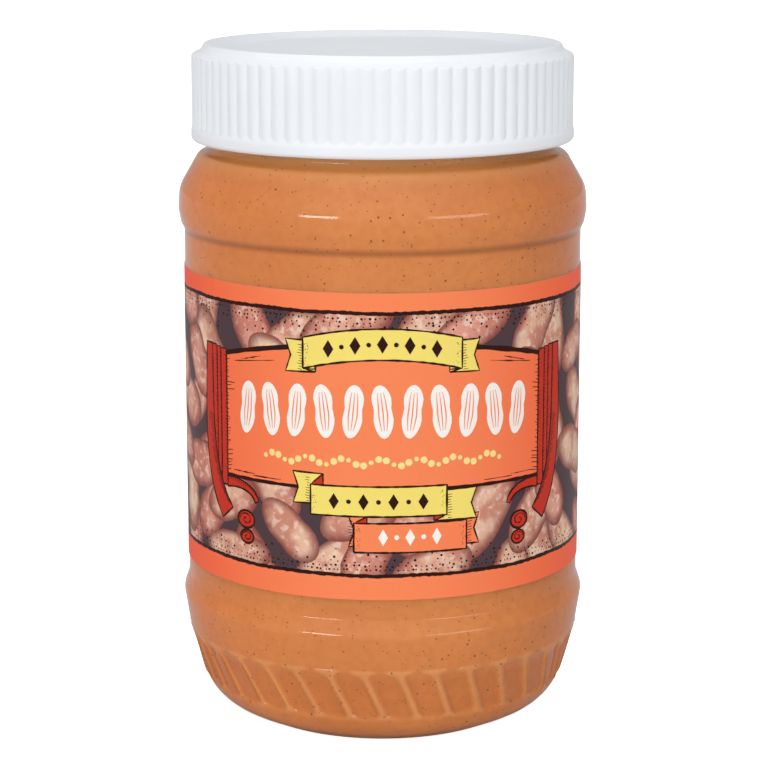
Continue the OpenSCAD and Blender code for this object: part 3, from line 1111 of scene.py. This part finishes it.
def label_inks():
    return {
        # the orange ink's side tint is a strong painted shade: much darker and redder at the jar's sides
        "orange_ink": ink("orange_ink", rgb(252, 138, 90), rgb(249, 128, 82), side=(1.0, 0.3, 0.25, 1.0)),
        "dark_ink": ink("dark_ink", rgb(48, 18, 10)),
        "nut_ink": nut_ink(),
        "gap_ink": ink("gap_ink", rgb(78, 60, 66), rgb(104, 70, 70)),
        "yellow_ink": ink("yellow_ink", rgb(248, 226, 116)),
        "red_ink": ink("red_ink", rgb(202, 52, 34)),
        "white_ink": ink("white_ink", rgb(252, 246, 240), rgb(248, 236, 226)),
        "cream_ink": ink("cream_ink", rgb(250, 228, 150)),
        "gold_ink": ink("gold_ink", rgb(222, 186, 84)),
        "paper_edge": ink("paper_edge", rgb(236, 214, 200)),
    }


# ---------------------------------------------------------------- the pieces

jar = build_jar()
filling = build_filling()
lid = build_lid()
label = build_label()

jar.data.materials.append(clear_wall())
filling.data.materials.append(butter())
lid.data.materials.append(lid_plastic())
INK_SET = label_inks()
for name in INKS:
    label.data.materials.append(INK_SET[name])

for piece, node_name, slot in ((jar, "jar", "clear_wall"), (filling, "peanut_butter", "filling"),
                               (lid, "lid", "lid_plastic"), (label, "label", "label_paper")):
    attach(piece, "root")
    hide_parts(node_name)


# ---------------------------------------------------------------- light, floor and camera

STUDIO_BASE = 0.42
FLOOR_GREY = 0.65
FLOOR_GLOW = 0.9
LENS_MM = 122.4
CAMERA_PLACE = (0.00025, -0.4716, 0.1582)
CAMERA_DIP = 11.7532


def towards(azimuth, elevation):
    """A direction from the jar; azimuth 0 is in front, and positive to the right."""
    a, e = math.radians(azimuth), math.radians(elevation)
    return (math.sin(a) * math.cos(e), -math.cos(a) * math.cos(e), math.sin(e))


def faced(tree, direction):
    """How far a ray of the studio points along one direction."""
    place = node(tree, "TexCoord")
    facing = node(tree, "VectorMath", operation="DOT_PRODUCT")
    facing.inputs[1].default_value = direction
    tree.links.new(place.outputs["Generated"], facing.inputs[0])
    return facing.outputs["Value"]


def soft_light(tree, azimuth, elevation, focus, strength):
    """A broad light with no edge, brightest in one direction."""
    lit = math_node(tree, "MAXIMUM", faced(tree, towards(azimuth, elevation)), 0.0)
    lit = math_node(tree, "POWER", lit, focus)
    return math_node(tree, "MULTIPLY", lit, strength)


def faded(tree, value, inner, outer):
    """1 up to the inner distance from 0, and softly down to 0 at the outer one."""
    made = node(tree, "MapRange", interpolation_type="SMOOTHSTEP")
    tree.links.new(math_node(tree, "ABSOLUTE", value, 0.0), made.inputs["Value"])
    for key, amount in (("From Min", inner), ("From Max", outer), ("To Min", 1.0), ("To Max", 0.0)):
        made.inputs[key].default_value = amount
    return made.outputs["Result"]


def strip_light(tree, azimuth, elevation, wide, tall, strength):
    """A low strip light with soft ends."""
    across = faded(tree, faced(tree, towards(azimuth + 90, 0)), 0.5 * wide, wide)
    height = math_node(tree, "SUBTRACT", faced(tree, (0.0, 0.0, 1.0)), math.sin(math.radians(elevation)))
    lit = math_node(tree, "MULTIPLY", across, faded(tree, height, 0.4 * tall, tall))
    ahead = math_node(tree, "GREATER_THAN", faced(tree, towards(azimuth, 0)), 0.0)
    return math_node(tree, "MULTIPLY", math_node(tree, "MULTIPLY", lit, ahead), strength)


world = bpy.data.worlds.new("studio")
world.use_nodes = True
studio = world.node_tree
total = math_node(studio, "ADD", STUDIO_BASE, 0.0)
for light in (soft_light(studio, -6, 24, 2.0, 0.63), soft_light(studio, 10, 88, 3.0, 0.75),
              strip_light(studio, -35, 5, 0.24, 0.06, 16.0), strip_light(studio, 43, 5, 0.38, 0.08, 4.5)):
    total = math_node(studio, "ADD", total, light)
studio.links.new(total, studio.nodes["Background"].inputs["Strength"])
studio.nodes["Background"].inputs["Color"].default_value = (1.0, 1.0, 1.0, 1.0)
scene.world = world

bpy.ops.mesh.primitive_plane_add(size=8.0, location=(0, 0, 0))
floor = bpy.context.object
floor.name = "floor"
floor_mat, floor_tree, floor_shader, floor_out = new_material("floor")
floor_shader.inputs["Base Color"].default_value = (FLOOR_GREY, FLOOR_GREY, FLOOR_GREY, 1.0)
floor_shader.inputs["Roughness"].default_value = 0.8
floor_shader.inputs["Emission Color"].default_value = (1.0, 1.0, 1.0, 1.0)
sight = node(floor_tree, "LightPath")
glow = math_node(floor_tree, "MULTIPLY", sight.outputs["Is Camera Ray"], FLOOR_GLOW)
floor_tree.links.new(glow, floor_shader.inputs["Emission Strength"])
floor.data.materials.append(floor_mat)

lens = bpy.data.cameras.new("camera")
lens.lens = LENS_MM
lens.sensor_width = 36.0
lens.sensor_fit = "HORIZONTAL"
lens.clip_start = 0.01
lens.dof.use_dof = False
camera = bpy.data.objects.new("camera", lens)
camera.location = CAMERA_PLACE
camera.rotation_euler = (math.radians(90 - CAMERA_DIP), 0, 0)
scene.collection.objects.link(camera)
scene.camera = camera
scene.view_settings.view_transform = "Standard"
scene.view_settings.look = "None"
